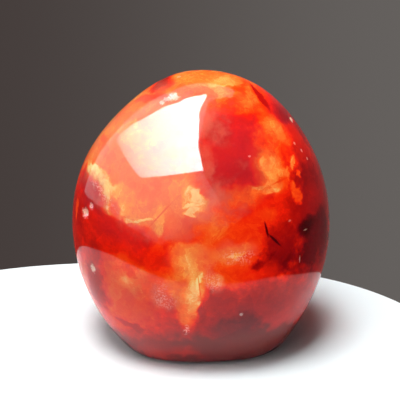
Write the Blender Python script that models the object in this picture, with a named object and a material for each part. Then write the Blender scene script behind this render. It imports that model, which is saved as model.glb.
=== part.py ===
"""A polished carnelian freeform: one hand-ground piece of orange to dark red chalcedony.

Metres, +Z up. The stone stands on its flat cut base in the plane Z = 0, with the origin under the middle
of its outline. Its broad front faces -Y. A heading is an angle about +Z from +X, so the right side is 0,
the back 90, the left 180 and the front 270 degrees. A rise is the angle above the horizontal.

The form is a rough egg with soft flats ground on it, and a saw cut under it:
    reach = (|direction / half sizes|^S + sum of max(0, direction . facing / distance)^S)^(-1/S)
Small natural hollows, which polishing didn't reach, are pressed into that surface.
"""
import math

import bmesh
import bpy
import numpy as np

# The egg before grinding, as half sizes about its middle
HALF_WIDTH = 0.0431
HALF_DEPTH = 0.0345
HALF_HEIGHT = 0.0556
MIDDLE_ABOVE_BASE = 0.0387
CUT_EDGE_ROUNDING = 0.0022
FORM_SHARPNESS = 14.0

# Ground flats: heading and rise of the way each faces, in degrees, and its distance from the middle
FLATS = (
    (157, 44, 0.0485),   # upper left shoulder
    (19, 36, 0.0515),    # upper right shoulder
    (-12, -27, 0.0480),  # lower right
    (190, -23, 0.0470),  # lower left
    (200, -46, 0.0495),  # left, close above the base
    (270, 5, 0.0365),    # broad front
    (262, 38, 0.0455),   # front, towards the top
    (272, -33, 0.0410),  # front, towards the base
    (92, 2, 0.0345),     # broad back
    (85, 42, 0.0420),    # back, towards the top
    (95, -33, 0.0400),   # back, towards the base
)

# Natural hollows: heading and rise of the middle in degrees, radius and depth
HOLLOWS = (
    (204.5, 18.0, 0.0019, 0.0010),  # larger hollow on the left side
    (208.5, 22.5, 0.0011, 0.0005),  # its small neighbour
    (211.0, -6.5, 0.0012, 0.0005),  # low on the left side
    (237.0, 73.0, 0.0017, 0.0006),  # crystal-lined hollow near the top
    (349.5, 54.0, 0.0014, 0.0005),  # chip on the right shoulder
    (118.0, 31.0, 0.0018, 0.0008),  # on the back
)

# Fineness of the mesh
SEGMENTS = 88
ROWS = 46
EDGE_ROWS = 5
HOLLOW_CUTS = 3
HOLLOW_MARGIN = 1.3

STONE_COLOUR = (0.56, 0.055, 0.012, 1.0)
STONE_ROUGHNESS = 0.05


def clear_scene():
    for thing in list(bpy.data.objects):
        bpy.data.objects.remove(thing, do_unlink=True)


def facing(heading, rise):
    """Unit vector at a heading and a rise given in degrees."""
    turn = math.radians(heading)
    lift = math.radians(rise)
    return np.array([math.cos(lift) * math.cos(turn), math.cos(lift) * math.sin(turn), math.sin(lift)])


def ground_reach(directions):
    """Distance from the middle to the egg with its soft flats, along unit directions."""
    half_sizes = np.array([HALF_WIDTH, HALF_DEPTH, HALF_HEIGHT])
    total = np.linalg.norm(directions / half_sizes, axis=-1) ** FORM_SHARPNESS
    for heading, rise, distance in FLATS:
        towards = directions @ facing(heading, rise)
        total = total + np.maximum(0.0, towards / distance) ** FORM_SHARPNESS
    return total ** (-1.0 / FORM_SHARPNESS)


def cut_reach(directions):
    """Distance from the middle down to the saw cut, very long where a direction doesn't fall."""
    return MIDDLE_ABOVE_BASE / np.maximum(-directions[..., 2], 1e-6)


def stone_reach(directions):
    """The nearer of the ground form and the cut, with the edge between them rounded off."""
    form = ground_reach(directions)
    cut = cut_reach(directions)
    overlap = np.maximum(CUT_EDGE_ROUNDING - np.abs(form - cut), 0.0)
    return np.minimum(form, cut) - overlap ** 2 / (4.0 * CUT_EDGE_ROUNDING)


def hollow_depth(directions):
    """How far the natural hollows press in: depth * (1 - (distance / radius)^2)^2 inside each radius."""
    pressed = np.zeros(directions.shape[:-1])
    for heading, rise, radius, depth in HOLLOWS:
        middle = facing(heading, rise)
        away = np.linalg.norm(directions - middle, axis=-1) * stone_reach(middle)
        pressed = pressed + depth * np.maximum(0.0, 1.0 - (away / radius) ** 2) ** 2
    return pressed


def rise_where(turns, gap):
    """Rise, for each heading, at which the form reaches past the cut by the given gap."""
    low = np.full(turns.shape, -0.5 * math.pi)
    high = np.zeros(turns.shape)
    for _ in range(40):
        middle = 0.5 * (low + high)
        ways = directions_of(turns, middle)
        outside = ground_reach(ways) - cut_reach(ways) < gap
        high = np.where(outside, middle, high)
        low = np.where(outside, low, middle)
    return 0.5 * (low + high)


def directions_of(turns, lifts):
    """Unit vectors from arrays of headings and rises in radians."""
    flat = np.cos(lifts)
    return np.stack([flat * np.cos(turns), flat * np.sin(turns), np.sin(lifts)], axis=-1)


def spread_rows(bm):
    """Move a ball's rows so that the cut's edge runs along them, with EDGE_ROWS across its rounding."""
    places = np.array([vertex.co for vertex in bm.verts], dtype=float)
    turns = np.arctan2(places[:, 1], places[:, 0])
    row = (0.5 + np.arcsin(np.clip(places[:, 2], -1.0, 1.0)) / math.pi) * ROWS
    edge_low = rise_where(turns, CUT_EDGE_ROUNDING)
    edge_high = rise_where(turns, -CUT_EDGE_ROUNDING)
    on_cut = row
    on_edge = (row - 1.0) / EDGE_ROWS
    on_wall = (row - 1.0 - EDGE_ROWS) / (ROWS - 1.0 - EDGE_ROWS)
    bottom = -0.5 * math.pi
    lifts = bottom + on_cut * (edge_low - bottom)
    lifts = np.where(on_cut > 1.0, edge_low + on_edge * (edge_high - edge_low), lifts)
    lifts = np.where(on_edge > 1.0, edge_high + on_wall * (0.5 * math.pi - edge_high), lifts)
    ways = directions_of(turns, lifts)
    for vertex, way in zip(bm.verts, ways):
        vertex.co = way


def refine_hollows(bm):
    """Cut the faces around each hollow finer, while the mesh is still a ball of unit directions."""
    for heading, rise, radius, _ in HOLLOWS:
        middle = facing(heading, rise)
        span = HOLLOW_MARGIN * radius / float(stone_reach(middle))
        near = [face for face in bm.faces if min_distance(face, middle) < span]
        edges = list({edge for face in near for edge in face.edges})
        bmesh.ops.subdivide_edges(bm, edges=edges, cuts=HOLLOW_CUTS, use_grid_fill=True)


def min_distance(face, middle):
    """Distance from a point to the nearest corner or middle of a face."""
    spots = [vertex.co for vertex in face.verts] + [face.calc_center_median()]
    return min(np.linalg.norm(np.array(spot) - middle) for spot in spots)


def shape_stone(bm):
    """Carry the ball of directions out to the stone's surface and stand it over the origin."""
    ways = np.array([vertex.co.normalized() for vertex in bm.verts], dtype=float)
    places = ways * (stone_reach(ways) - hollow_depth(ways))[:, None]
    places[:, 2] += MIDDLE_ABOVE_BASE
    places[:, :2] -= 0.5 * (places[:, :2].min(axis=0) + places[:, :2].max(axis=0))
    for vertex, place in zip(bm.verts, places):
        vertex.co = place


def stone_material():
    material = bpy.data.materials.new("polished_stone")
    material.use_nodes = True
    shader = material.node_tree.nodes["Principled BSDF"]
    shader.inputs["Base Color"].default_value = STONE_COLOUR
    shader.inputs["Roughness"].default_value = STONE_ROUGHNESS
    shader.inputs["Metallic"].default_value = 0.0
    return material


def make_carnelian():
    bm = bmesh.new()
    bmesh.ops.create_uvsphere(bm, u_segments=SEGMENTS, v_segments=ROWS, radius=1.0)
    spread_rows(bm)
    refine_hollows(bm)
    shape_stone(bm)
    bmesh.ops.triangulate(bm, faces=bm.faces[:])
    bmesh.ops.recalc_face_normals(bm, faces=bm.faces[:])
    mesh = bpy.data.meshes.new("carnelian")
    bm.to_mesh(mesh)
    bm.free()
    mesh.shade_smooth()
    mesh.materials.append(stone_material())
    stone = bpy.data.objects.new("carnelian", mesh)
    bpy.context.scene.collection.objects.link(stone)
    return stone


clear_scene()
make_carnelian()
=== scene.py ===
"""Dresses a polished carnelian freeform: its fine ground surface, its colours and a plain stage around it.

The file is laid out as an add-on. Run as a script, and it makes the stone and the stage.
Places on the stone are given by a heading, which is an angle about +Z from +X, and a rise above the
horizontal, both in degrees. The broad front is at heading 270. Flats and hollows are seen from the middle
of the rough egg, and markings from the pattern's middle, a little above it.
"""

import math

import bpy
import numpy as np
from mathutils import Matrix, Vector


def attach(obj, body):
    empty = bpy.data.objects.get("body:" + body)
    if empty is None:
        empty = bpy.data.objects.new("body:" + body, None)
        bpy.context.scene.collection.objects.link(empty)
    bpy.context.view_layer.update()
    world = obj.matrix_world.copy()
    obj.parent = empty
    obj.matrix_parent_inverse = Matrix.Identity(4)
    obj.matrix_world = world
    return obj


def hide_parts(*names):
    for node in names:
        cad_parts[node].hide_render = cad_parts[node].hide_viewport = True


bl_info = {
    "name": "Polished carnelian",
    "version": (1, 0, 0),
    "blender": (4, 5, 0),
    "location": "3D View > Sidebar > Carnelian",
    "description": "Makes a polished carnelian freeform and a plain stage for it",
    "category": "Add Mesh",
}

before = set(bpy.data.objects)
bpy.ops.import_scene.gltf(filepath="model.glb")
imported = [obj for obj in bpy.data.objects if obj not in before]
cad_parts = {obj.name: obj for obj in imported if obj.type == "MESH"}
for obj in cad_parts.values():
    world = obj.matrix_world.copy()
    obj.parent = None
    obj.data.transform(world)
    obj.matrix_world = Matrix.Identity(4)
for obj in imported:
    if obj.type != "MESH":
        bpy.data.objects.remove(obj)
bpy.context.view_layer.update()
MM = 0.001

# Least fall of a direction towards the cut, digits to which corners agree at a seam, and steps that find the
# place of a marking
TINY = 1e-6
SEAM_DIGITS = 6
REACH_STEPS = 12

# Ground flats: heading and rise of the way each faces, and its distance from the middle in mm
FLATS = (
    (157, 44, 48.5),   # upper left shoulder
    (19, 36, 51.5),    # upper right shoulder
    (-12, -27, 48.0),  # lower right
    (190, -23, 47.0),  # lower left
    (200, -46, 49.5),  # left, close above the base
    (270, 5, 36.5),    # broad front
    (262, 38, 45.5),   # front, towards the top
    (272, -33, 41.0),  # front, towards the base
    (92, 2, 34.5),     # broad back
    (85, 42, 42.0),    # back, towards the top
    (95, -33, 40.0),   # back, towards the base
)

# Natural hollows: heading and rise of the middle, radius and depth in mm
HOLLOWS = (
    (204.5, 18.0, 1.9, 1.0),
    (208.5, 22.5, 1.1, 0.5),
    (211.0, -6.5, 1.2, 0.5),
    (237.0, 73.0, 1.7, 0.6),
    (349.5, 54.0, 1.4, 0.5),
    (118.0, 31.0, 1.8, 0.8),
)

# Floor plate
FLOOR_CORNERS = 256
FLOOR_ROUNDING = 2.3
FLOOR_MIDDLE = (-0.025, -0.021)
FLOOR_THICKNESS = 0.004
FLOOR_ROUGHNESS = 0.8

# Corners of the lamps that the polish reflects, as heading and rise seen from the origin
WINDOW_CORNERS = (
    (164, 28), (184, 52), (202, 71), (290, 87), (257, 70),
    (262, 50), (269, 32), (246, 29), (223, 24), (200, 29),
)
PALE_WALL_CORNERS = (
    (150, -5), (152, 20), (153, 45), (149, 63), (128, 70), (84, 72), (50, 67), (36, 63),
    (9, 71), (300, 84), (266, 70), (263, 50), (268, 30), (277, 16), (281, 6), (276, 1),
    (266, 0), (257, -5), (248, -11), (225, -5), (196, -1), (170, -3),
)

# The lamps that the polish reflects: name, corners, distance, dimmest and brightest glow, and the direction
# along which they brighten
REFLECTED_LAMPS = (
    ("window", WINDOW_CORNERS, 1.0, 4.0, 47.0, (0.7, -0.2, 0.7)),
    ("pale_wall", PALE_WALL_CORNERS, 1.6, 0.5, 4.0, (-0.35, 0.0, 1.0)),
)

# Where the room turns from its dark to its light side, and where it dims behind the camera and overhead, as
# parts of a unit direction
ROOM_SIDES = (-0.25, 0.25)
ROOM_BEHIND = (0.3, -0.3)
ROOM_OVERHEAD = (0.15, 0.55)

# Light from above, in metres and watts, and the point that every soft light looks at
CEILING_PLACE = (-0.12, -0.17, 0.88)
CEILING_SIZES = (0.36, 0.36)
CEILING_POWER = 10.8
LIGHT_AIM = (0.0, 0.0, 0.04)

# Soft lights near table height: name, heading, height over the floor in metres and power in watts
TABLE_DISTANCE = 1.2
TABLE_SIZES = (1.2, 0.16)
TABLE_LIGHTS = (
    ("front_left", 225, 0.03, 3.3),
    ("front_right", 300, 0.03, 4.4),
    ("right", 0, -0.02, 4.8),
    ("back_right", 45, -0.02, 4.4),
    ("back", 90, -0.02, 3.5),
    ("back_left", 135, -0.02, 3.6),
)

# Noises: size in mm, detail and roughness
NOISES = {
    "ground": (24.0, 3.0, 0.50),  # clouds where no marking lies
    "broad": (14.0, 2.0, 0.50),   # slow drift of the markings
    "wisps": (7.0, 4.0, 0.62),
    "close": (4.5, 3.0, 0.55),    # quick drift, and curls in every rim
    "lace": (3.2, 3.0, 0.60),
    "fine": (1.7, 4.0, 0.60),
    "crystals": (0.6, 2.0, 0.60),
}
PLANE_SIZE = 9.0

# Drift of the markings in mm, and the share of it that all but the broad fields take
BROAD_DRIFT = 9.0
CLOSE_DRIFT = 7.0
NUDGE = 0.6

# Share of each pattern in the tone, and half widths of the thin lines in it
TONE_SHARES = {"wisp": 0.30, "curl": 0.12, "grain": 0.11, "vein": 0.05, "lace": 0.04, "plane": 0.10}
VEIN_WIDTH = 0.035
LACE_WIDTH = 0.028

# Smooth steps, each from a low to a high value and where given from a start to an end: noise to the tone of
# the ground, tone to liveliness, tone to the milk that it takes, and crystal noise to flakes
GROUND_STEP = (-0.15, 0.18, 0.2, 0.8)
LIVELY_STEP = (0.30, 0.80, 0.40, 1.0)
MILKY_STEP = (0.92, 0.76, 0.15, 1.0)
FLAKE_STEP = (0.0, 0.09)
FLAKE_GRAIN = 0.6

# Rims of the markings: softness, and how much each pattern frays them
FIELD_RIM = (0.45, {"curl": 0.6, "grain": 0.2})
LAID_RIM = (0.16, {"curl": 0.5, "grain": 0.3})
CLOUD_RIM = (0.50, {"curl": 0.9, "grain": 0.6})
STREAK_RIM = (0.30, {"curl": 0.7, "grain": 0.5})
NEEDLE_RIM = (0.50, {"grain": 0.5})
VEIL_RIM = (0.50, {"curl": 1.0, "wisp": 1.0})
SHADE_VEIL_RIM = (0.60, {"curl": 1.0, "wisp": 1.0})
SPECK_RIM = (0.35, {"grain": 1.4, "crystal": 1.6})
FROST_RIM = (0.60, {"curl": 1.0})

# Depth of a tilted marking under the surface, as a share of its larger half size
MARK_DEPTH = 1.4

# How far red, green and blue light spread under the surface, as shares of the glow depth
GLOW_SPREAD = (1.0, 0.3, 0.12)

# Bump of the fine crystals: height in metres and strength
CRYSTAL_HEIGHT = 0.0003
CRYSTAL_BUMP = 0.8

# Veils of another hue over the tones, laid as the markings are, with the share of the hue for a tone
ROSE_VEILS = (
    (287, 52, 13, 15, 0, 0.60, 1.0),   # dark heart
    (298, 43, 5, 5, 0, 0.60, 1.0),
    (208, 26, 10, 5, -15, 0.55, 1.0),  # left, under the cream streak
    (265, 25, 5, 4, 0, 0.18, 1.0),
    (345, 57, 6, 6, 0, 0.35, 1.0),
    (230, 15, 12, 5, 0, 0.30, 1.0),
)
MILK_VEILS = (
    (250, 33, 17, 9, 0, 0.55, 1.0),    # left of the middle
    (256, 66, 11, 4.5, 0, 0.50, 1.0),  # under the crown
    (256, 22, 6, 5, 0, 0.35, 1.0),
    (220, 52, 22, 15, 0, 0.48, 1.0),
    (266, 4, 7, 5, 0, 0.20, 1.0),      # lobe over the fin
    (276, -7, 3, 3.5, 0, 0.35, 1.0),   # right of the fin
    (250, -17, 3, 4.5, 0, 0.30, 1.0),  # left of the fin
    (288, 8, 6, 2.5, 0, 0.20, 1.0),
    (100, 30, 26, 16, 0, 0.35, 1.0),   # back
)
# Painted shade: dark brown veils that darken the lower part of the stone towards the base, where shade falls
SHADE_VEILS = (
    (226, -24, 22, 14, 0, 0.33, 1.0),  # lower left
    (232, -40, 30, 8, 0, 0.35, 1.0),
    (213, -25, 8, 15, 0, 0.30, 1.0),
    (285, -49, 34, 6, 0, 0.75, 1.0),   # above the base
    (235, -56, 20, 7, 0, 0.50, 1.0),
)

# Flaky pale crystals under the surface, laid as the markings are, with their share for a strength
FROST = (
    (251, -16, 2.4, 4.0, 0, 1, 0.30),  # left of the fin
    (275, -7, 2.4, 3.0, 0, 1, 0.30),   # right of the fin
    (262, -37, 1.2, 2.4, 0, 1, 0.40),
    (290, 5.5, 4.5, 1.4, 0, 1, 0.35),  # lace on the wisps
    (214, 27, 6, 1.4, -15, 1, 0.35),   # lower edge of the cream streak
)

# Markings: heading and rise of the middle, half length and half width in mm, tilt of the length against the
# horizontal in degrees, tone from 0 for almost black to 1 for cream, and strength. A level marking reaches
# as far inwards as along, and its width stands upright
FIELDS = (
    (270, 10, 60, 60, 0, 0.62, 0.8),    # whole front
    (215, 60, 30, 22, 0, 0.79, 0.9),    # upper left
    (280, 84, 18, 18, 0, 0.68, 0.9),    # crown
    (322, 70, 14, 10, 0, 0.71, 0.9),    # right of the crown
    (242, 42, 20, 12, 0, 0.76, 0.9),    # left of the middle
    (340, 22, 17, 36, 0, 0.22, 0.9),    # right side
    (350, 52, 14, 12, 0, 0.42, 0.8),    # right shoulder
    (314, 47, 10, 15, 0, 0.73, 0.9),    # flames on the right
    (287, 52, 11, 14, 0, 0.41, 0.95),   # dark heart
    (302, 22, 13, 9, 0, 0.50, 0.9),     # bright red
    (275, 20, 14, 9, 0, 0.65, 0.8),     # middle
    (218, 7, 24, 11, -25, 0.43, 0.95),  # red band on the left
    (230, -22, 24, 14, 0, 0.62, 0.9),   # lower left
    (240, -40, 34, 6, 0, 0.50, 0.8),
    (268, -14, 11, 12, 0, 0.62, 0.9),   # under the middle
    (303, -32, 30, 15, 0, 0.29, 0.95),  # lower right
    (275, -57, 60, 9, 0, 0.06, 0.95),   # painted shade above the base
    (243, -52, 12, 6, 0, 0.38, 0.8),
    (270, -66, 60, 3.5, 0, 0.03, 0.9),  # painted contact shadow: dark rim around the cut
)
BACK_FIELDS = (
    (95, 20, 22, 14, 0, 0.72, 0.9),   # back, upper half
    (70, -20, 20, 12, 0, 0.36, 0.9),  # back, low on its left
    (120, -10, 12, 18, 0, 0.55, 0.8),
    (150, 10, 10, 16, 0, 0.62, 0.8),
    (60, 30, 14, 6, 30, 0.45, 0.8),
    (100, 5, 16, 3, -25, 0.90, 0.8),  # pale band across the back
    (25, 0, 12, 12, 0, 0.30, 0.9),    # right side, towards the back
)
LAID = (
    (212, 29.5, 12.5, 5.2, -15, 0.97, 0.95),  # cream streak on the left
    (231, 28, 7, 3.6, -35, 0.90, 0.85),
    (241, 26, 7, 4.8, 0, 0.84, 0.9),          # amber lobe at its end
    (267, 34, 4.2, 4.2, 0, 0.90, 0.85),       # golden patch
    (265, 5, 8, 5.5, 0, 0.80, 0.8),           # lobe over the fin
    (262, -11, 4.4, 14, 0, 0.79, 0.9),        # fin
    (281, -22, 4.8, 13, 0, 0.36, 0.95),       # red that cuts the fin off on its right
)
CLOUDS = (
    (195, 75, 5, 2.8, 0, 0.30, 1.0),      # red patch by the crown
    (211, 69, 6, 1.7, 20, 0.44, 0.9),     # dusky streak under it
    (198, 47, 2.5, 1.5, 0, 0.52, 0.7),
    (285, 86, 10, 4, 0, 0.78, 0.7),       # pale crown
    (320, 73, 3.5, 2, 0, 0.60, 0.8),
    (326, 56, 3.2, 7, 0, 0.74, 0.9),      # wedge of orange on the right shoulder
    (318, 50, 5, 6, 0, 0.63, 0.7),
    (345, 57, 4, 3, 0, 0.22, 0.9),        # maroon patch on the right shoulder
    (356, 47, 4, 8, 0, 0.27, 0.8),
    (310, 62, 5, 1.8, 0, 0.43, 0.8),      # ridge over the heart
    (296, 43, 5, 4, 0, 0.37, 0.85),       # lower right of the heart
    (284, 60, 4, 3.5, 0, 0.36, 0.8),
    (281, 43, 4, 4, 0, 0.38, 0.8),
    (274, 53, 2, 8, 0, 0.56, 0.7),
    (307, 46, 3.6, 9, 0, 0.70, 0.9),      # column of orange beside the heart
    (312, 40, 5, 3.5, 0, 0.79, 0.9),
    (334, 43, 3.5, 3, 0, 0.36, 0.9),
    (325, 44, 2.6, 5.5, 0, 0.47, 0.9),
    (313, 53, 1.6, 5, 0, 0.52, 0.8),
    (303, 52, 1.6, 4, 0, 0.50, 0.7),
    (317, 33, 1.6, 4, 0, 0.50, 0.7),
    (306, 35, 6, 2.0, 0, 0.79, 0.8),
    (316, 28, 6, 3, 0, 0.45, 0.8),
    (306, 30, 4, 2.5, 0, 0.50, 0.8),
    (306, 24, 3, 2.5, 0, 0.60, 0.7),
    (330, 20, 9, 6, 0, 0.33, 0.8),        # maroon side
    (328, 11, 5.0, 2.8, 0, 0.05, 0.9),
    (329, -1, 5, 5, 0, 0.14, 0.8),
    (339, 5, 6, 8, 0, 0.16, 0.8),
    (312, 3, 6, 6, 0, 0.20, 0.9),
    (312, 12, 5, 6, 0, 0.32, 0.8),
    (303, -2, 5, 3, 0, 0.40, 0.7),
    (299, 0, 1.9, 1.5, 0, 0.24, 0.8),
    (290, 24, 6, 4, 0, 0.57, 0.8),
    (291, 35, 6, 3, 0, 0.71, 0.9),
    (280, 20, 2.5, 5, 0, 0.72, 0.8),
    (265, 24, 2.6, 2.2, 0, 0.46, 0.85),   # red spot in the middle
    (261, 17, 6, 2.2, 0, 0.55, 0.8),
    (250, 29, 8, 8, 0, 0.74, 0.6),
    (205, 25.5, 8, 3.2, -15, 0.30, 0.9),  # dark band under the cream streak
    (224, 24.5, 2, 3.5, 0, 0.58, 0.9),
    (195, 30, 2, 3, 0, 0.33, 0.8),
    (216, 13, 8, 2.2, -20, 0.36, 0.6),
    (196, 8, 7, 13, 0, 0.37, 0.75),
    (226, 8, 5, 2.2, 0, 0.40, 0.6),
    (237, 5.5, 6, 3, -22, 0.50, 0.8),
    (228, -1, 7, 2.2, 0, 0.62, 0.8),
    (233, -10, 5, 3.5, 0, 0.70, 0.9),     # amber patch, low on the left
    (232, -9.5, 2, 1.5, 0, 0.82, 0.9),
    (240, -4, 2.6, 2, 0, 0.70, 0.8),
    (211, -18, 5, 14, 0, 0.30, 0.8),
    (254, -26, 3, 2, 0, 0.47, 0.8),
    (279, 8, 5, 6, 0, 0.64, 0.7),
    (282, -6, 13, 3, 0, 0.57, 0.8),
    (262, -1, 2.6, 5, 0, 0.89, 0.8),
    (256, -7, 2.2, 3.5, 0, 0.76, 0.9),
    (263, -28, 3.0, 7, 0, 0.72, 0.9),     # tail of the fin
    (266, -13, 2.8, 6.5, 0, 0.91, 0.95),  # cream of the fin
    (275, -6, 4, 2.6, 0, 0.80, 0.7),
    (285, 6.5, 4.5, 2.2, 0, 0.77, 0.8),   # pale wisps right of the fin
    (291, 8.5, 5, 2, 20, 0.76, 0.8),
    (293, 14.5, 3.5, 2.5, 0, 0.56, 0.7),
    (290, -36, 9, 6, 0, 0.16, 0.8),       # maroon, low on the right
    (304, -24, 6, 4, 0, 0.27, 0.7),
)
STREAKS = (
    (338, 67, 5, 1.3, 66, 0.33, 0.9),     # dark streak by the crown
    (266, 30, 3.2, 1.1, 15, 1.0, 1.0),    # golden flecks, painted glints
    (264, 28.5, 2.2, 0.8, 0, 1.0, 0.95),
    (266, 32.5, 3.2, 0.6, 8, 1.0, 0.9),
    (269, 36, 1.6, 2.4, 0, 0.98, 0.8),
    (309, 44, 0.9, 4, 0, 0.82, 0.8),      # flames on the right
    (314, 43, 1.0, 3, 0, 0.84, 0.8),
    (303, 37, 2.6, 0.7, 0, 0.90, 0.8),
    (310, 34, 2.4, 0.7, 0, 0.90, 0.8),
    (318, 39, 0.7, 3, 0, 0.80, 0.8),
    (327, 41, 0.8, 4, 0, 0.80, 0.8),
    (313, 78, 5, 1.2, 0, 0.84, 0.8),      # yellow by the crown
    (237, 22, 5, 0.7, 12, 0.97, 0.9),     # pale lip of the amber lobe
    (207, 34, 6, 1.2, -22, 1.0, 0.9),     # palest edge of the cream streak
    (248, 23, 1.9, 4.5, 0, 0.88, 0.9),    # cream wedge
    (324, 28.5, 1.6, 4.2, 0, 0.80, 0.6),  # peach flame on the right
    (323, 37, 1.0, 4.5, 0, 0.78, 0.6),
    (330, 36, 0.8, 2.5, 0, 0.78, 0.6),
    (228, -35, 6, 1.3, -30, 0.34, 0.8),
    (268.5, -12, 0.9, 6, 0, 1.0, 0.95),   # palest rim of the fin
    (289, 6, 3.5, 0.6, 0, 0.90, 0.8),
    (195, 15, 1.1, 5, 0, 0.64, 0.8),
)

# Pale specks and crystals in the hollows, with their share for a strength; the three specks on the right are
# painted glints
SPECKS = (
    (213, 81, 0.6, 0.3, 0, 1, 0.4),       # by the crown
    (232, 71, 1.4, 0.5, 0, 1, 0.45),
    (228, 69, 0.8, 0.5, 0, 1, 0.5),
    (301, 49, 0.4, 0.3, 0, 1, 0.35),      # in the heart
    (335, 46, 0.4, 0.5, 0, 1, 0.35),      # painted glints on the right
    (338, 42, 0.35, 0.8, 0, 1, 0.4),
    (340, 38, 0.3, 0.5, 0, 1, 0.35),
    (326, 11, 0.9, 0.22, 0, 1, 0.3),
    (317, 18, 0.5, 0.3, 0, 1, 0.3),
    (322, -2, 0.2, 1.0, 0, 1, 0.3),
    (292, -27, 0.6, 0.5, 0, 1, 0.3),      # low on the right
    (204.5, 15.7, 1.7, 1.3, 0, 1, 0.65),  # crystals around the hollows
    (208.5, 20.3, 0.8, 0.8, 0, 1, 0.6),
    (211, -9, 1.2, 1.3, 0, 1, 0.9),
    (237, 72.4, 1.6, 0.8, 0, 1, 0.6),
    (349.5, 52.8, 1.1, 0.7, 0, 1, 0.7),
    (118, 28.5, 2.0, 1.7, 0, 1, 0.9),
)

# Thin dark needles and the edges of clear planes, laid as the markings are
NEEDLES = (
    (304, 17, 2.2, 0.34, 100, 0.12, 0.9),
    (308, 11, 2.8, 0.36, 130, 0.06, 0.9),
    (316, 36, 3.2, 0.3, 2, 0.50, 0.5),
    (249, 27, 6.0, 0.22, 52, 0.62, 0.7),  # edges of clear planes
    (257, 15, 6.5, 0.22, 65, 0.60, 0.6),
    (269.5, -13, 5.0, 0.2, 97, 0.60, 0.6),
)


class CarnelianForm(bpy.types.PropertyGroup):
    """Sizes of the stone."""
    half_width: bpy.props.FloatProperty(
        name="Half width", description="Half size of the rough egg from side to side",
        default=0.0431, unit="LENGTH")
    half_depth: bpy.props.FloatProperty(
        name="Half depth", description="Half size of the rough egg from front to back",
        default=0.0345, unit="LENGTH")
    half_height: bpy.props.FloatProperty(
        name="Half height", description="Half size of the rough egg upwards",
        default=0.0556, unit="LENGTH")
    middle_above_base: bpy.props.FloatProperty(
        name="Middle above base", description="Height of the egg's middle over the saw cut",
        default=0.0387, unit="LENGTH")
    pattern_rise: bpy.props.FloatProperty(
        name="Pattern rise", description="Height over the egg's middle that the markings are seen from",
        default=0.0018, unit="LENGTH")
    cut_edge: bpy.props.FloatProperty(
        name="Cut edge rounding", description="How far the edge around the saw cut is rounded off",
        default=0.0022, unit="LENGTH")
    sharpness: bpy.props.FloatProperty(
        name="Sharpness", description="How crisply the ground flats meet", default=14.0)
    cells: bpy.props.IntProperty(
        name="Cells", description="Cells along each side of the six grids of the surface", default=128)


class CarnelianFinish(bpy.types.PropertyGroup):
    """Colours, polish and translucency of the stone."""
    ink: bpy.props.FloatVectorProperty(
        name="Ink", description="Almost black core of the darkest clouds",
        default=(0.020, 0.0008, 0.0015), subtype="COLOR")
    maroon: bpy.props.FloatVectorProperty(
        name="Maroon", description="Dark iron-rich zones",
        default=(0.150, 0.0010, 0.0035), subtype="COLOR")
    blood: bpy.props.FloatVectorProperty(
        name="Blood red", description="Deep red zones",
        default=(0.380, 0.0030, 0.0030), subtype="COLOR")
    scarlet: bpy.props.FloatVectorProperty(
        name="Scarlet", description="Clear bright red",
        default=(0.860, 0.0130, 0.0020), subtype="COLOR")
    flame: bpy.props.FloatVectorProperty(
        name="Flame", description="Red orange",
        default=(0.960, 0.0700, 0.0040), subtype="COLOR")
    orange: bpy.props.FloatVectorProperty(
        name="Orange", description="Pale zones of common carnelian",
        default=(1.000, 0.2000, 0.0250), subtype="COLOR")
    amber: bpy.props.FloatVectorProperty(
        name="Amber", description="Milky orange zones",
        default=(1.000, 0.3800, 0.0850), subtype="COLOR")
    cream: bpy.props.FloatVectorProperty(
        name="Cream", description="Palest wisps and veins",
        default=(1.000, 0.6800, 0.2800), subtype="COLOR")
    rose: bpy.props.FloatVectorProperty(
        name="Rose", description="Crimson veil in the dark zones",
        default=(0.500, 0.0190, 0.0280), subtype="COLOR")
    milk: bpy.props.FloatVectorProperty(
        name="Milk", description="Salmon veil in the pale zones",
        default=(0.780, 0.2300, 0.1400), subtype="COLOR")
    # Colour of the painted shade that darkens the stone towards the base
    painted_shade: bpy.props.FloatVectorProperty(
        name="Painted shade", description="Brown veil towards the base",
        default=(0.150, 0.0120, 0.0100), subtype="COLOR")
    # Colour of the fine crystals, also used for the painted glints
    crust_and_glints: bpy.props.FloatVectorProperty(
        name="Crust", description="Fine crystals in the hollows and pale specks",
        default=(0.950, 0.6200, 0.5000), subtype="COLOR")
    crust_roughness: bpy.props.FloatProperty(
        name="Crust roughness", description="Roughness of the fine crystals", default=0.45)
    polish: bpy.props.FloatProperty(
        name="Polish", description="Roughness of the polished surface", default=0.03)
    mirror: bpy.props.FloatProperty(
        name="Mirror", description="Strength of the polish's reflections, where 0.5 is that of the index",
        default=0.27)
    refraction: bpy.props.FloatProperty(
        name="Refraction", description="Index of refraction of chalcedony", default=1.54)
    glow_depth: bpy.props.FloatProperty(
        name="Glow depth", description="How far light spreads under the surface",
        default=0.004, unit="LENGTH")


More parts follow.
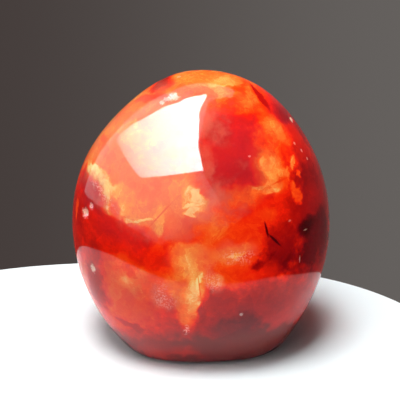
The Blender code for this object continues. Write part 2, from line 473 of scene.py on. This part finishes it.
class CarnelianStage(bpy.types.PropertyGroup):
    """Camera, floor and light."""
    camera_distance: bpy.props.FloatProperty(
        name="Camera distance", description="From the lens to the point it looks at",
        default=0.312, unit="LENGTH")
    camera_rise: bpy.props.FloatProperty(
        name="Camera rise", description="Angle of the camera above the horizontal",
        default=math.radians(21.4), subtype="ANGLE")
    camera_side: bpy.props.FloatProperty(
        name="Camera side", description="How far the camera stands to the right of the stone's middle",
        default=-0.00035, unit="LENGTH")
    camera_aim: bpy.props.FloatProperty(
        name="Aim height", description="Height of the point the camera looks at",
        default=0.0496, unit="LENGTH")
    camera_angle: bpy.props.FloatProperty(
        name="Angle of view", description="Width of the camera's view",
        default=math.radians(24.0), subtype="ANGLE")
    floor_half_width: bpy.props.FloatProperty(
        name="Floor half width", description="Half size of the rounded floor plate from side to side",
        default=0.112, unit="LENGTH")
    floor_half_depth: bpy.props.FloatProperty(
        name="Floor half depth", description="Half size of the rounded floor plate from front to back",
        default=0.078, unit="LENGTH")
    floor_colour: bpy.props.FloatVectorProperty(
        name="Floor colour", description="Colour of the floor plate",
        default=(0.72, 0.80, 0.82), subtype="COLOR")
    dark_side: bpy.props.FloatVectorProperty(
        name="Dark side", description="Colour of the room on the left",
        default=(0.060, 0.047, 0.044), subtype="COLOR")
    light_side: bpy.props.FloatVectorProperty(
        name="Light side", description="Colour of the room on the right",
        default=(0.130, 0.119, 0.112), subtype="COLOR")
    room_dimming: bpy.props.FloatProperty(
        name="Room dimming",
        description="Share of its light that the room loses overhead and behind the camera",
        default=0.75, subtype="FACTOR")


def facing(heading, rise):
    """Unit vector at a heading and a rise given in degrees."""
    turn = math.radians(heading)
    lift = math.radians(rise)
    return np.array([math.cos(lift) * math.cos(turn), math.cos(lift) * math.sin(turn), math.sin(lift)])


def ground_reach(form, ways):
    """Egg with soft flats: (|way / half sizes|^S + sum of max(0, way . facing / distance)^S)^(-1/S)."""
    halves = np.array([form.half_width, form.half_depth, form.half_height])
    total = np.linalg.norm(ways / halves, axis=-1) ** form.sharpness
    for heading, rise, distance in FLATS:
        towards = ways @ facing(heading, rise) / (distance * MM)
        total = total + np.maximum(0.0, towards) ** form.sharpness
    return total ** (-1.0 / form.sharpness)


def stone_reach(form, ways):
    """The nearer of the ground form and the saw cut, less (E - |difference|)^2 / 4E at the edge between."""
    ground = ground_reach(form, ways)
    cut = form.middle_above_base / np.maximum(-ways[..., 2], TINY)
    overlap = np.maximum(form.cut_edge - np.abs(ground - cut), 0.0)
    return np.minimum(ground, cut) - overlap ** 2 / (4.0 * form.cut_edge)


def hollow_depth(form, ways):
    """Each hollow presses in by depth * (1 - (distance / radius)^2)^2 inside its radius."""
    pressed = np.zeros(ways.shape[:-1])
    for heading, rise, radius, depth in HOLLOWS:
        middle = facing(heading, rise)
        away = np.linalg.norm(ways - middle, axis=-1) * stone_reach(form, middle) / (radius * MM)
        pressed = pressed + depth * MM * np.maximum(0.0, 1.0 - away ** 2) ** 2
    return pressed


def ball_grid(cells):
    """Unit vectors and quads of six square grids wrapped on a ball: way = (1, tan u, tan v) made unit long,
    with u and v running evenly from -45 to 45 degrees, turned to the six sides and welded at the seams."""
    step = np.tan(np.linspace(-0.25 * math.pi, 0.25 * math.pi, cells + 1))
    u, v = np.meshgrid(step, step, indexing="ij")
    one = np.ones_like(u)
    sides = ((one, u, v), (-one, -u, v), (-u, one, v), (u, -one, v), (-v, u, one), (v, u, -one))
    ways = np.concatenate([np.stack(side, axis=-1).reshape(-1, 3) for side in sides])
    ways /= np.linalg.norm(ways, axis=-1, keepdims=True)
    corner = np.arange((cells + 1) ** 2).reshape(cells + 1, cells + 1)
    ring = (corner[:-1, :-1], corner[1:, :-1], corner[1:, 1:], corner[:-1, 1:])
    quads = np.stack(ring, axis=-1).reshape(-1, 4)
    quads = np.concatenate([quads + side * (cells + 1) ** 2 for side in range(6)])
    _, first, welded = np.unique(np.round(ways, SEAM_DIGITS), axis=0, return_index=True, return_inverse=True)
    return ways[first], welded.reshape(-1)[quads]


def stone_middle(form):
    """The egg's middle, so placed that the stone's outline from above is centred on the origin."""
    ways, _ = ball_grid(form.cells)
    outline = ways * stone_reach(form, ways)[:, None]
    middle = -0.5 * (outline.min(axis=0) + outline.max(axis=0))
    middle[2] = form.middle_above_base
    return middle


def stone_places(form, ways):
    """Points of the surface: the middle plus way * (reach - hollow depth)."""
    return stone_middle(form) + ways * (stone_reach(form, ways) - hollow_depth(form, ways))[:, None]


def mesh_object(name, places, faces):
    """An object at the origin, with its place in its mesh."""
    mesh = bpy.data.meshes.new(name)
    mesh.from_pydata(places.tolist(), [], [list(face) for face in faces])
    mesh.update()
    thing = bpy.data.objects.new(name, mesh)
    bpy.context.scene.collection.objects.link(thing)
    return thing


class Value:
    """A number in a node tree. Arithmetic on it adds Math nodes."""

    def __init__(self, nodes, socket):
        self.nodes = nodes
        self.socket = socket

    def __add__(self, other):
        return self.nodes.math("ADD", self, other)

    __radd__ = __add__

    def __mul__(self, other):
        return self.nodes.math("MULTIPLY", self, other)

    __rmul__ = __mul__

    def __sub__(self, other):
        return self.nodes.math("SUBTRACT", self, other)

    def __rsub__(self, other):
        return self.nodes.math("SUBTRACT", other, self)

    def __abs__(self):
        return self.nodes.math("ABSOLUTE", self)


class Nodes:
    """Adds nodes to a tree and links them."""

    def __init__(self, tree):
        self.tree = tree

    def add(self, kind, settings=None, inputs=None):
        """A new node of a kind, with its settings made first and then its sockets set or linked."""
        node = self.tree.nodes.new(kind)
        for name, setting in (settings or {}).items():
            if name == "stops":
                self.set_stops(node.color_ramp, setting)
            else:
                setattr(node, name, setting)
        for key, value in (inputs or {}).items():
            self.feed(node.inputs[key], value)
        return node

    def feed(self, socket, value):
        """Link a value's socket, or set a plain number, colour or vector."""
        if isinstance(value, Value):
            self.tree.links.new(value.socket, socket)
        elif isinstance(value, bpy.types.NodeSocket):
            self.tree.links.new(value, socket)
        else:
            socket.default_value = value

    def set_stops(self, ramp, stops):
        """Give a ramp its stops, each a position and a colour."""
        while len(ramp.elements) < len(stops):
            ramp.elements.new(1.0)
        for element, (position, colour) in zip(ramp.elements, stops):
            element.position = position
            element.color = (*colour, 1.0)

    def noise(self, place, name):
        """Outputs of one of the noises, at a place in mm."""
        size, detail, roughness = NOISES[name]
        span = {"Vector": place, "Scale": 1.0 / size, "Detail": detail, "Roughness": roughness}
        return self.add("ShaderNodeTexNoise", {}, span).outputs

    def swing(self, outputs):
        """A noise's number with its middle moved to zero."""
        return Value(self, outputs["Fac"]) - 0.5

    def math(self, operation, *numbers):
        """Number that a Math node makes of the given numbers."""
        node = self.add("ShaderNodeMath", {"operation": operation}, dict(enumerate(numbers)))
        return Value(self, node.outputs[0])

    def vector(self, operation, *vectors):
        """Vector that a Vector Math node makes of the given vectors."""
        node = self.add("ShaderNodeVectorMath", {"operation": operation}, dict(enumerate(vectors)))
        return node.outputs["Vector"]

    def scaled(self, vector, factor):
        """The vector times a number."""
        node = self.add("ShaderNodeVectorMath", {"operation": "SCALE"}, {0: vector, "Scale": factor})
        return node.outputs[0]

    def centred(self, vector):
        """A noise colour with its middle moved to zero."""
        return self.vector("SUBTRACT", vector, (0.5, 0.5, 0.5))

    def length(self, vector):
        """The vector's length."""
        node = self.add("ShaderNodeVectorMath", {"operation": "LENGTH"}, {0: vector})
        return Value(self, node.outputs["Value"])

    def blend(self, share, first, second):
        """Number that goes from the first to the second as the share goes from 0 to 1."""
        node = self.add("ShaderNodeMix", {"data_type": "FLOAT"}, {0: share, 2: first, 3: second})
        return Value(self, node.outputs[0])

    def between(self, value, low, high, start=0.0, end=1.0):
        """Smooth step from start at low to end at high."""
        span = {"Value": value, "From Min": low, "From Max": high, "To Min": start, "To Max": end}
        node = self.add("ShaderNodeMapRange", {"interpolation_type": "SMOOTHSTEP"}, span)
        return Value(self, node.outputs["Result"])

    def blend_colours(self, share, first, second):
        """Colour that goes from the first to the second as the share goes from 0 to 1."""
        node = self.add("ShaderNodeMix", {"data_type": "RGBA"}, {0: share, 6: first, 7: second})
        return node.outputs[2]


def new_material(name):
    """A material with nodes, its node adder and its Principled shader."""
    material = bpy.data.materials.new(name)
    material.use_nodes = True
    return material, Nodes(material.node_tree), material.node_tree.nodes["Principled BSDF"]


def tone_stops(finish):
    """Colours of the tones from the darkest to the palest."""
    return (
        (0.00, finish.ink), (0.20, finish.maroon), (0.32, finish.blood), (0.50, finish.scarlet),
        (0.64, finish.flame), (0.78, finish.orange), (0.89, finish.amber), (1.00, finish.cream),
    )


def marked_point(form, out):
    """Point of the surface, in mm from the egg's middle, that a ray from the pattern's middle meets.
    The ray's length is stepped by reach / distance from the egg's middle until the two agree."""
    start = np.array([0.0, 0.0, form.pattern_rise])
    span = stone_reach(form, out)
    for _ in range(REACH_STEPS):
        point = start + out * span
        away = np.linalg.norm(point)
        span *= stone_reach(form, point / away) / away
    return (start + out * span) / MM


def mark_away(nodes, form, place, mark):
    """Distance of a point from the middle of an ellipsoid laid on the surface, as 1 at its rim."""
    heading, rise, length, width, tilt = mark[:5]
    out = facing(heading, rise)
    middle = marked_point(form, out)
    if tilt == 0:
        squeeze = np.array([1.0 / length, 1.0 / length, 1.0 / width])
        shift = -middle * squeeze
        return nodes.length(nodes.vector("MULTIPLY_ADD", place, squeeze.tolist(), shift.tolist()))
    up = facing(heading, rise + 90.0)
    right = np.cross(up, out)
    turn = math.radians(tilt)
    along = math.cos(turn) * right + math.sin(turn) * up
    frame_of_mark = Matrix(np.stack([along, np.cross(out, along), out], axis=-1).tolist())
    local = nodes.add("ShaderNodeMapping", {"vector_type": "TEXTURE"}, {
        "Vector": place, "Location": middle.tolist(), "Rotation": frame_of_mark.to_euler(),
        "Scale": (length, width, MARK_DEPTH * max(length, width))})
    return nodes.length(local.outputs["Vector"])


def mixed(patterns, shares):
    """Sum of the named patterns, each times its share."""
    return sum(patterns[name] * share for name, share in shares.items())


def paint_tones(nodes, form, place, tone, marks, rim, patterns):
    """Lay marks over the tone, one after another, each whole inside and soft and frayed at its rim."""
    soft, shares = rim
    fray = mixed(patterns, shares)
    for mark in marks:
        away = mark_away(nodes, form, place, mark)
        share = nodes.between(away + fray, 1.0 + soft, 1.0 - soft, 0.0, mark[6])
        tone = nodes.blend(share, tone, mark[5])
    return tone


def stone_patterns(nodes, place, nudged):
    """The patterns that fray the markings and enliven the tone: thin lines of 1, or a swing about zero."""
    wisp = nodes.swing(nodes.noise(nudged, "wisps"))
    lace = nodes.swing(nodes.noise(nudged, "lace"))
    cells = nodes.add("ShaderNodeTexVoronoi", {}, {"Vector": nudged, "Scale": 1.0 / PLANE_SIZE})
    plane = nodes.add("ShaderNodeSeparateXYZ", {}, {"Vector": cells.outputs["Color"]}).outputs["X"]
    return {
        "grain": nodes.swing(nodes.noise(place, "fine")),
        "curl": nodes.swing(nodes.noise(place, "close")),
        "crystal": nodes.swing(nodes.noise(place, "crystals")),
        "wisp": wisp,
        "vein": nodes.between(abs(wisp), VEIN_WIDTH, 0.0),
        "lace": nodes.between(abs(lace), LACE_WIDTH, 0.0),
        "plane": Value(nodes, plane) - 0.5,
    }


def stone_material(form, finish):
    """Polished chalcedony: tones laid as markings and made lively by patterns, a ramp from tone to colour,
    two veils of other hues and a painted shade towards the base over it, and fine pale crystals in the
    hollows and specks, some of them painted glints."""
    material, nodes, shader = new_material("polished_carnelian")
    place = nodes.vector("SUBTRACT", nodes.add("ShaderNodeTexCoord").outputs["Object"], stone_middle(form))
    place = nodes.scaled(place, 1.0 / MM)
    broad = nodes.centred(nodes.noise(place, "broad")["Color"])
    close = nodes.centred(nodes.noise(place, "close")["Color"])
    drift = nodes.vector("ADD", nodes.scaled(broad, BROAD_DRIFT), nodes.scaled(close, CLOSE_DRIFT))
    drifted = nodes.vector("ADD", place, drift)
    nudged = nodes.vector("ADD", place, nodes.scaled(drift, NUDGE))
    patterns = stone_patterns(nodes, place, nudged)

    def painted(tone, marks, rim, where=nudged):
        return paint_tones(nodes, form, where, tone, marks, rim, patterns)

    tone = nodes.between(nodes.swing(nodes.noise(drifted, "ground")), *GROUND_STEP)
    tone = painted(tone, FIELDS + BACK_FIELDS, FIELD_RIM, drifted)
    tone = painted(tone, LAID, LAID_RIM)
    tone = painted(tone, CLOUDS, CLOUD_RIM)
    tone = painted(tone, STREAKS, STREAK_RIM)
    tone = painted(tone, NEEDLES, NEEDLE_RIM, place)
    lively = nodes.between(tone, *LIVELY_STEP)
    tone = tone + mixed(patterns, TONE_SHARES) * lively

    ramp = nodes.add("ShaderNodeValToRGB", {"stops": tone_stops(finish)}, {"Fac": tone})
    rose = painted(0.0, ROSE_VEILS, VEIL_RIM)
    milk = painted(0.0, MILK_VEILS, VEIL_RIM) * nodes.between(tone, *MILKY_STEP)
    # Painted shade: share of the dark colour laid over the lower part towards the base
    painted_shade = painted(0.0, SHADE_VEILS, SHADE_VEIL_RIM)
    crust_and_glints = painted(0.0, SPECKS, SPECK_RIM, place)
    flake = nodes.between(patterns["crystal"] + patterns["grain"] * FLAKE_GRAIN, *FLAKE_STEP)
    frost = painted(0.0, FROST, FROST_RIM) * flake
    colour = nodes.blend_colours(rose, ramp.outputs["Color"], (*finish.rose, 1.0))
    colour = nodes.blend_colours(milk, colour, (*finish.milk, 1.0))
    colour = nodes.blend_colours(painted_shade, colour, (*finish.painted_shade, 1.0))
    colour = nodes.blend_colours(crust_and_glints, colour, (*finish.crust_and_glints, 1.0))
    colour = nodes.blend_colours(frost, colour, (*finish.crust_and_glints, 1.0))
    nodes.feed(shader.inputs["Base Color"], colour)
    nodes.feed(shader.inputs["Roughness"], nodes.blend(crust_and_glints, finish.polish, finish.crust_roughness))
    bump = nodes.add("ShaderNodeBump", {}, {
        "Height": patterns["crystal"] * crust_and_glints, "Distance": CRYSTAL_HEIGHT, "Strength": CRYSTAL_BUMP})
    nodes.feed(shader.inputs["Normal"], bump.outputs["Normal"])
    shader.inputs["IOR"].default_value = finish.refraction
    shader.inputs["Specular IOR Level"].default_value = finish.mirror
    shader.inputs["Subsurface Weight"].default_value = 1.0
    shader.inputs["Subsurface Radius"].default_value = GLOW_SPREAD
    shader.inputs["Subsurface Scale"].default_value = finish.glow_depth
    return material


class CARNELIAN_OT_stone(bpy.types.Operator):
    """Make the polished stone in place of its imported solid"""
    bl_idname = "carnelian.make_stone"
    bl_label = "Make stone"

    def execute(self, context):
        form = context.scene.carnelian_form
        finish = context.scene.carnelian_finish
        ways, quads = ball_grid(form.cells)
        stone = mesh_object("polished_stone", stone_places(form, ways), quads)
        stone.data.shade_smooth()
        stone.data.materials.append(stone_material(form, finish))
        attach(stone, "root")
        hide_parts("carnelian")
        return {"FINISHED"}


def make_floor(stage):
    """Plate whose rim is |x / half width|^R + |y / half depth|^R = 1."""
    turn = np.linspace(0.0, 2.0 * math.pi, FLOOR_CORNERS, endpoint=False)
    power = 2.0 / FLOOR_ROUNDING
    x = FLOOR_MIDDLE[0] + stage.floor_half_width * np.sign(np.cos(turn)) * np.abs(np.cos(turn)) ** power
    y = FLOOR_MIDDLE[1] + stage.floor_half_depth * np.sign(np.sin(turn)) * np.abs(np.sin(turn)) ** power
    top = np.stack([x, y, np.zeros_like(x)], axis=-1)
    under = top - np.array([0.0, 0.0, FLOOR_THICKNESS])
    rim = np.arange(FLOOR_CORNERS)
    after = np.roll(rim, -1)
    wall = np.stack([rim, rim + FLOOR_CORNERS, after + FLOOR_CORNERS, after], axis=-1)
    faces = [rim, rim[::-1] + FLOOR_CORNERS, *wall]
    floor = mesh_object("floor", np.concatenate([top, under]), [face.tolist() for face in faces])
    material, _, shader = new_material("floor")
    shader.inputs["Base Color"].default_value = (*stage.floor_colour, 1.0)
    shader.inputs["Roughness"].default_value = FLOOR_ROUGHNESS
    floor.data.materials.append(material)


def reflected_lamp(name, corners, distance, dim, bright, across):
    """A lamp seen only in the polish: a fan of facets through points at one distance, whose glow goes from
    dim to bright along the direction across."""
    rim = np.array([facing(*corner) for corner in corners]) * distance
    hub = rim.mean(axis=0)
    hub *= distance / np.linalg.norm(hub)
    places = np.vstack([rim, hub])
    index = np.arange(len(rim))
    faces = np.stack([np.full(len(rim), len(rim)), index, np.roll(index, -1)], axis=-1)
    lamp = mesh_object(name, places, faces.tolist())
    material, nodes, shader = new_material(name)
    place = nodes.add("ShaderNodeTexCoord").outputs["Object"]
    along = nodes.add("ShaderNodeVectorMath", {"operation": "DOT_PRODUCT"}, {0: place, 1: across})
    reach = places @ np.array(across)
    span = {"Value": along.outputs["Value"], "From Min": reach.min(), "From Max": reach.max()}
    share = nodes.add("ShaderNodeMapRange", {}, span).outputs["Result"]
    glow = nodes.blend_colours(share, (dim, dim, dim, 1.0), (bright, bright, bright, 1.0))
    lit = nodes.add("ShaderNodeEmission", {}, {"Color": glow, "Strength": 1.0})
    nodes.feed(material.node_tree.nodes["Material Output"].inputs["Surface"], lit.outputs["Emission"])
    material.node_tree.nodes.remove(shader)
    lamp.data.materials.append(material)
    lamp.visible_camera = False
    lamp.visible_diffuse = False
    lamp.visible_shadow = False
    lamp.visible_transmission = False


def soft_light(name, place, sizes, power):
    """A rectangle of light that looks at the stone and shows in no reflection."""
    light = bpy.data.lights.new(name, "AREA")
    light.shape = "RECTANGLE"
    light.size, light.size_y = sizes
    light.energy = power
    lamp = bpy.data.objects.new(name, light)
    lamp.location = place
    lamp.rotation_euler = (Vector(place) - Vector(LIGHT_AIM)).to_track_quat("Z", "Y").to_euler()
    lamp.visible_glossy = False
    lamp.visible_camera = False
    bpy.context.scene.collection.objects.link(lamp)


def make_room(stage):
    """Dim room that gets lighter to the right, and darker behind the camera and overhead."""
    world = bpy.data.worlds.new("room")
    world.use_nodes = True
    nodes = Nodes(world.node_tree)
    way = nodes.add("ShaderNodeTexCoord").outputs["Generated"]
    apart = nodes.add("ShaderNodeSeparateXYZ", {}, {"Vector": way})
    share = nodes.between(Value(nodes, apart.outputs["X"]), *ROOM_SIDES)
    colour = nodes.blend_colours(share, (*stage.dark_side, 1.0), (*stage.light_side, 1.0))
    behind_camera = nodes.between(Value(nodes, apart.outputs["Y"]), *ROOM_BEHIND, 0.0, stage.room_dimming)
    overhead = nodes.between(Value(nodes, apart.outputs["Z"]), *ROOM_OVERHEAD, 0.0, stage.room_dimming)
    colour = nodes.blend_colours(behind_camera, colour, (0.0, 0.0, 0.0, 1.0))
    colour = nodes.blend_colours(overhead, colour, (0.0, 0.0, 0.0, 1.0))
    nodes.feed(world.node_tree.nodes["Background"].inputs["Color"], colour)
    bpy.context.scene.world = world


def make_camera(stage):
    """Camera in front of the stone that looks down at it."""
    lens = bpy.data.cameras.new("camera")
    lens.angle = stage.camera_angle
    camera = bpy.data.objects.new("camera", lens)
    back = Vector(facing(270.0, math.degrees(stage.camera_rise)))
    camera.location = Vector((stage.camera_side, 0.0, stage.camera_aim)) + back * stage.camera_distance
    camera.rotation_euler = (0.5 * math.pi - stage.camera_rise, 0.0, 0.0)
    bpy.context.scene.collection.objects.link(camera)
    bpy.context.scene.camera = camera


class CARNELIAN_OT_stage(bpy.types.Operator):
    """Make the floor, the room, the lights and the camera"""
    bl_idname = "carnelian.make_stage"
    bl_label = "Make stage"

    def execute(self, context):
        stage = context.scene.carnelian_stage
        make_floor(stage)
        for lamp in REFLECTED_LAMPS:
            reflected_lamp(*lamp)
        soft_light("ceiling", CEILING_PLACE, CEILING_SIZES, CEILING_POWER)
        for name, heading, height, power in TABLE_LIGHTS:
            place = facing(heading, 0.0) * TABLE_DISTANCE + np.array([0.0, 0.0, height])
            soft_light(name, place.tolist(), TABLE_SIZES, power)
        make_room(stage)
        make_camera(stage)
        context.scene.view_settings.view_transform = "Standard"
        return {"FINISHED"}


class CARNELIAN_PT_sidebar(bpy.types.Panel):
    """Lists the steps that make the stone and its stage"""
    bl_idname = "CARNELIAN_PT_sidebar"
    bl_label = "Carnelian"
    bl_space_type = "VIEW_3D"
    bl_region_type = "UI"
    bl_category = "Carnelian"

    def draw(self, context):
        self.layout.operator(CARNELIAN_OT_stone.bl_idname)
        self.layout.operator(CARNELIAN_OT_stage.bl_idname)


SETTINGS = {
    "carnelian_form": CarnelianForm,
    "carnelian_finish": CarnelianFinish,
    "carnelian_stage": CarnelianStage,
}
CLASSES = (*SETTINGS.values(), CARNELIAN_OT_stone, CARNELIAN_OT_stage, CARNELIAN_PT_sidebar)


def register():
    """Add the settings, the steps and the sidebar."""
    for item in CLASSES:
        bpy.utils.register_class(item)
    for name, group in SETTINGS.items():
        setattr(bpy.types.Scene, name, bpy.props.PointerProperty(type=group))


def unregister():
    """Take the settings, the steps and the sidebar away."""
    for name in SETTINGS:
        delattr(bpy.types.Scene, name)
    for item in reversed(CLASSES):
        bpy.utils.unregister_class(item)


def main():
    """Make everything."""
    register()
    bpy.ops.carnelian.make_stone()
    bpy.ops.carnelian.make_stage()


if __name__ == "__main__":
    main()
